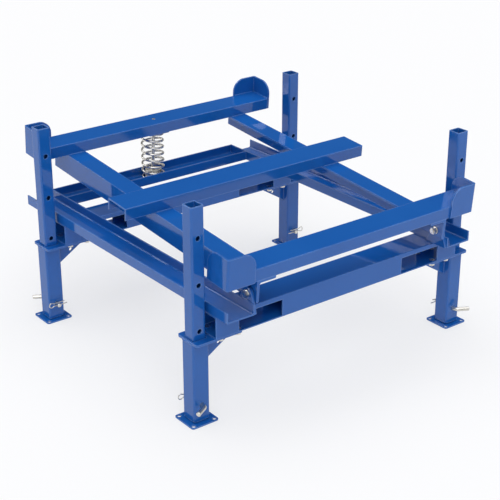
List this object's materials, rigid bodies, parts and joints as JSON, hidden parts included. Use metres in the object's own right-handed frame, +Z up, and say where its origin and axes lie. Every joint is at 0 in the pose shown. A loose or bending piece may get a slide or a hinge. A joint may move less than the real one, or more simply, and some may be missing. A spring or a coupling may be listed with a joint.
{
  "type": "intermediate bulk container tilt stand",
  "caption": "Steel tilt stand for an intermediate bulk container: a spring-lifted deck with corner guides, hinged on a frame with fork openings and pinned telescoping legs.",
  "frame": {"origin": "on the floor, under the middle of the whole length and width", "axes": "+X to the right seen from the low front, +Y to the raised rear, +Z up"},
  "size_m": [1.2848, 1.3118, 0.7683],
  "materials": {
    "blue_coat": "gloss",
    "zinc_steel": "satin",
    "spring_steel": "satin"
  },
  "bodies": {
    "stand": {"front_cross_beam": "blue_coat", "front_left_foot_plate": "blue_coat", "front_left_leg_gusset": "blue_coat", "front_left_leg_plate": "blue_coat", "front_left_leg_post": "blue_coat", "front_left_leg_sleeve": "blue_coat", "front_right_foot_plate": "blue_coat", "front_right_leg_gusset": "blue_coat", "front_right_leg_plate": "blue_coat", "front_right_leg_post": "blue_coat", "front_right_leg_sleeve": "blue_coat", "left_hinge_ear": "blue_coat", "left_side_channel": "blue_coat", "leg_bolts": "zinc_steel", "leg_nuts": "zinc_steel", "leg_washers": "zinc_steel", "lift_spring": "spring_steel", "lower_spring_hub": "zinc_steel", "pivot_bolts": "zinc_steel", "pivot_nuts": "zinc_steel", "pivot_washers": "zinc_steel", "rear_cross_beam": "blue_coat", "rear_left_foot_plate": "blue_coat", "rear_left_leg_gusset": "blue_coat", "rear_left_leg_plate": "blue_coat", "rear_left_leg_post": "blue_coat", "rear_left_leg_sleeve": "blue_coat", "rear_right_foot_plate": "blue_coat", "rear_right_leg_gusset": "blue_coat", "rear_right_leg_plate": "blue_coat", "rear_right_leg_post": "blue_coat", "rear_right_leg_sleeve": "blue_coat", "rear_spring_channel": "blue_coat", "right_hinge_ear": "blue_coat", "right_side_channel": "blue_coat"},
    "tilt_frame": {"front_deck_beam": "blue_coat", "mid_deck_beam": "blue_coat", "rear_deck_beam": "blue_coat", "left_tilt_rail": "blue_coat", "right_tilt_rail": "blue_coat", "upper_spring_seat": "blue_coat", "spring_rod": "zinc_steel", "rod_nut": "zinc_steel", "front_left_corner_guide": "blue_coat", "front_right_corner_guide": "blue_coat", "rear_left_corner_guide": "blue_coat", "rear_right_corner_guide": "blue_coat"},
    "front_left_pin": {"front_left_lock_pin": "zinc_steel"},
    "front_left_clip": {"front_left_hairpin_clip": "zinc_steel"},
    "front_right_pin": {"front_right_lock_pin": "zinc_steel"},
    "front_right_clip": {"front_right_hairpin_clip": "zinc_steel"},
    "rear_left_pin": {"rear_left_lock_pin": "zinc_steel"},
    "rear_left_clip": {"rear_left_hairpin_clip": "zinc_steel"},
    "rear_right_pin": {"rear_right_lock_pin": "zinc_steel"},
    "rear_right_clip": {"rear_right_hairpin_clip": "zinc_steel"}
  },
  "joints": [
    {"name": "tilt_pivot", "type": "hinge", "parent": "stand", "child": "tilt_frame", "pos_m": [0, -0.59976, 0.4485], "axis": [1, 0, 0], "range_deg": [-4.58, 0], "stiffness_Nm_per_rad": 23000, "springref_deg": 0.92, "deforming": ["lift_spring"]},
    {"name": "front_left_pin_turn", "type": "hinge", "parent": "stand", "child": "front_left_pin", "pos_m": [-0.5884, -0.52081, 0.066], "axis": [0, 1, 0], "continuous": true},
    {"name": "front_left_clip_pull", "type": "slide", "parent": "front_left_pin", "child": "front_left_clip", "axis": [-1, 0, 0], "range_m": [0, 0.06]},
    {"name": "front_right_pin_turn", "type": "hinge", "parent": "stand", "child": "front_right_pin", "pos_m": [0.5884, -0.52081, 0.066], "axis": [0, 1, 0], "continuous": true},
    {"name": "front_right_clip_pull", "type": "slide", "parent": "front_right_pin", "child": "front_right_clip", "axis": [1, 0, 0], "range_m": [0, 0.06]},
    {"name": "rear_left_pin_turn", "type": "hinge", "parent": "stand", "child": "rear_left_pin", "pos_m": [-0.5884, 0.43729, 0.066], "axis": [0, 1, 0], "continuous": true},
    {"name": "rear_left_clip_pull", "type": "slide", "parent": "rear_left_pin", "child": "rear_left_clip", "axis": [-1, 0, 0], "range_m": [0, 0.06]},
    {"name": "rear_right_pin_turn", "type": "hinge", "parent": "stand", "child": "rear_right_pin", "pos_m": [0.5884, 0.43729, 0.066], "axis": [0, 1, 0], "continuous": true},
    {"name": "rear_right_clip_pull", "type": "slide", "parent": "rear_right_pin", "child": "rear_right_clip", "axis": [1, 0, 0], "range_m": [0, 0.06]}
  ]
}
